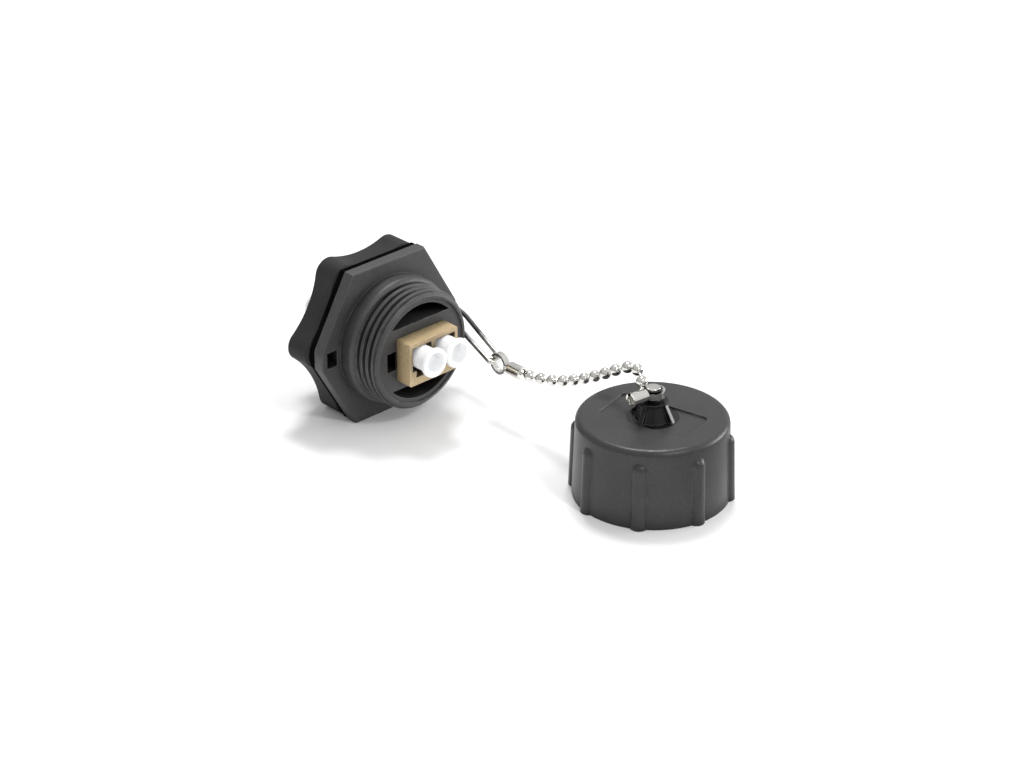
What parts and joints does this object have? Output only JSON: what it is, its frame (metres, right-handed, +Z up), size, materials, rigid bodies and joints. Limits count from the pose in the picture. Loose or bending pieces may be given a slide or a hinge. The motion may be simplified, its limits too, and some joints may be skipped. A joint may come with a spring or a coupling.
{
  "type": "lc fibre adapter",
  "caption": "Sealed duplex fibre adapter in a threaded round housing with a hexagonal flange, star nut and a screw cap tethered by a ball chain.",
  "frame": {"origin": "on the adapter's axis, at the rear face of the flange, where it seats on the panel", "axes": "+Y along the adapter's axis to the rear, through the panel, -Y towards the screw cap's end; +Z up with a flat of the flange facing down; +X to the right seen from the front, the side of the tether"},
  "size_m": [0.0488, 0.096, 0.0334],
  "materials": {
    "housing_plastic": "satin moulded charcoal plastic",
    "nut_plastic": "satin moulded charcoal plastic",
    "cap_plastic": "satin moulded charcoal plastic",
    "adapter_plastic": "smooth beige moulded plastic",
    "dust_cap_plastic": "soft milky translucent plastic",
    "sleeve_ceramic": "polished white ceramic",
    "clip_steel": "blackened spring steel",
    "gasket_rubber": "soft black rubber",
    "chain_nickel": "bright nickel plate",
    "wire_steel": "drawn stainless steel wire"
  },
  "bodies": {
    "housing": {"housing": "housing_plastic", "flange_gasket": "gasket_rubber", "adapter_front_shell": "adapter_plastic", "adapter_rear_shell": "adapter_plastic", "split_sleeve_left": "sleeve_ceramic", "split_sleeve_right": "sleeve_ceramic", "panel_clip": "clip_steel"},
    "lock_nut": {"lock_nut": "nut_plastic"},
    "dust_cap_front_left": {"dust_cap_front_left": "dust_cap_plastic"},
    "dust_cap_front_right": {"dust_cap_front_right": "dust_cap_plastic"},
    "dust_cap_rear_left": {"dust_cap_rear_left": "dust_cap_plastic"},
    "dust_cap_rear_right": {"dust_cap_rear_right": "dust_cap_plastic"},
    "tether_loop": {"tether_loop": "wire_steel"},
    "tether_coupling": {"tether_coupling": "chain_nickel", "chain_bead_01": "chain_nickel", "chain_pin_01": "chain_nickel"},
    "chain_link_02": {"chain_bead_02": "chain_nickel", "chain_pin_02": "chain_nickel"},
    "chain_link_03": {"chain_bead_03": "chain_nickel", "chain_pin_03": "chain_nickel"},
    "chain_link_04": {"chain_bead_04": "chain_nickel", "chain_pin_04": "chain_nickel"},
    "chain_link_05": {"chain_bead_05": "chain_nickel", "chain_pin_05": "chain_nickel"},
    "chain_link_06": {"chain_bead_06": "chain_nickel", "chain_pin_06": "chain_nickel"},
    "chain_link_07": {"chain_bead_07": "chain_nickel", "chain_pin_07": "chain_nickel"},
    "chain_link_08": {"chain_bead_08": "chain_nickel", "chain_pin_08": "chain_nickel"},
    "chain_link_09": {"chain_bead_09": "chain_nickel", "chain_pin_09": "chain_nickel"},
    "chain_link_10": {"chain_bead_10": "chain_nickel", "chain_pin_10": "chain_nickel"},
    "chain_link_11": {"chain_bead_11": "chain_nickel", "chain_pin_11": "chain_nickel"},
    "chain_link_12": {"chain_bead_12": "chain_nickel", "chain_pin_12": "chain_nickel"},
    "chain_link_13": {"chain_bead_13": "chain_nickel", "chain_pin_13": "chain_nickel"},
    "cap_coupling": {"cap_coupling": "chain_nickel", "chain_bead_14": "chain_nickel"},
    "screw_cap": {"screw_cap": "cap_plastic", "cap_gasket": "gasket_rubber"}
  },
  "joints": [
    {"name": "nut_travel", "type": "slide", "parent": "housing", "child": "lock_nut", "axis": [0, 1, 0], "range_m": [-0.0002, 0.009]},
    {"name": "dust_cap_front_left_pull", "type": "slide", "parent": "housing", "child": "dust_cap_front_left", "axis": [0, -1, 0], "range_m": [0, 0.012]},
    {"name": "dust_cap_front_right_pull", "type": "slide", "parent": "housing", "child": "dust_cap_front_right", "axis": [0, -1, 0], "range_m": [0, 0.012]},
    {"name": "dust_cap_rear_left_pull", "type": "slide", "parent": "housing", "child": "dust_cap_rear_left", "axis": [0, 1, 0], "range_m": [0, 0.012]},
    {"name": "dust_cap_rear_right_pull", "type": "slide", "parent": "housing", "child": "dust_cap_rear_right", "axis": [0, 1, 0], "range_m": [0, 0.012]},
    {"name": "tether_swing", "type": "hinge", "parent": "housing", "child": "tether_loop", "pos_m": [0.01747, -0.0012, -0.00035], "axis": [0, 0, 1], "range_deg": [-8, 35]},
    {"name": "coupling_swing", "type": "hinge", "parent": "tether_loop", "child": "tether_coupling", "pos_m": [0.014, -0.0186, -0.00475], "axis": [1, 0, 0], "range_deg": [-50, 50]},
    {"name": "chain_joint_02", "type": "hinge", "parent": "tether_coupling", "child": "chain_link_02", "pos_m": [0.0138, -0.02803, -0.0044], "axis": [0, 0.0862, 0.9963], "range_deg": [-14, 14]},
    {"name": "chain_joint_03", "type": "hinge", "parent": "chain_link_02", "child": "chain_link_03", "pos_m": [0.0138, -0.03126, -0.00384], "axis": [1, 0, 0], "range_deg": [-14, 14]},
    {"name": "chain_joint_04", "type": "hinge", "parent": "chain_link_03", "child": "chain_link_04", "pos_m": [0.0138, -0.03445, -0.00308], "axis": [0, -0.241, -0.9705], "range_deg": [-14, 14]},
    {"name": "chain_joint_05", "type": "hinge", "parent": "chain_link_04", "child": "chain_link_05", "pos_m": [0.0138, -0.03757, -0.00207], "axis": [-1, 0, 0], "range_deg": [-14, 14]},
    {"name": "chain_joint_06", "type": "hinge", "parent": "chain_link_05", "child": "chain_link_06", "pos_m": [0.0138, -0.04058, -0.00078], "axis": [0, 0.4059, 0.9139], "range_deg": [-14, 14]},
    {"name": "chain_joint_07", "type": "hinge", "parent": "chain_link_06", "child": "chain_link_07", "pos_m": [0.0138, -0.04352, 0.00068], "axis": [1, 0, 0], "range_deg": [-14, 14]},
    {"name": "chain_joint_08", "type": "hinge", "parent": "chain_link_07", "child": "chain_link_08", "pos_m": [0.0138, -0.0464, 0.00225], "axis": [0, -0.484, -0.8751], "range_deg": [-14, 14]},
    {"name": "chain_joint_09", "type": "hinge", "parent": "chain_link_08", "child": "chain_link_09", "pos_m": [0.0138, -0.04922, 0.00391], "axis": [-1, 0, 0], "range_deg": [-14, 14]},
    {"name": "chain_joint_10", "type": "hinge", "parent": "chain_link_09", "child": "chain_link_10", "pos_m": [0.0138, -0.05199, 0.00568], "axis": [0, 0.5439, 0.8392], "range_deg": [-14, 14]},
    {"name": "chain_joint_11", "type": "hinge", "parent": "chain_link_10", "child": "chain_link_11", "pos_m": [0.01421, -0.05481, 0.00731], "axis": [0.9884, 0.1325, -0.0744], "range_deg": [-14, 9]},
    {"name": "chain_joint_12", "type": "hinge", "parent": "chain_link_11", "child": "chain_link_12", "pos_m": [0.01394, -0.05789, 0.00834], "axis": [0.5296, 0.1656, 0.8319], "range_deg": [-14, 11]},
    {"name": "chain_joint_13", "type": "hinge", "parent": "chain_link_12", "child": "chain_link_13", "pos_m": [0.01265, -0.06077, 0.00763], "axis": [0.3975, -0.5098, 0.763], "range_deg": [-14, 14]},
    {"name": "cap_coupling_swing", "type": "hinge", "parent": "chain_link_13", "child": "cap_coupling", "pos_m": [0.01074, -0.06213, 0.0054], "axis": [-0.454, 0.891, 0], "range_deg": [-2.5, 12]},
    {"name": "cap_swivel", "type": "hinge", "parent": "cap_coupling", "child": "screw_cap", "pos_m": [0.01392, -0.06268, 0.00345], "axis": [0, 0, 1], "continuous": true}
  ]
}
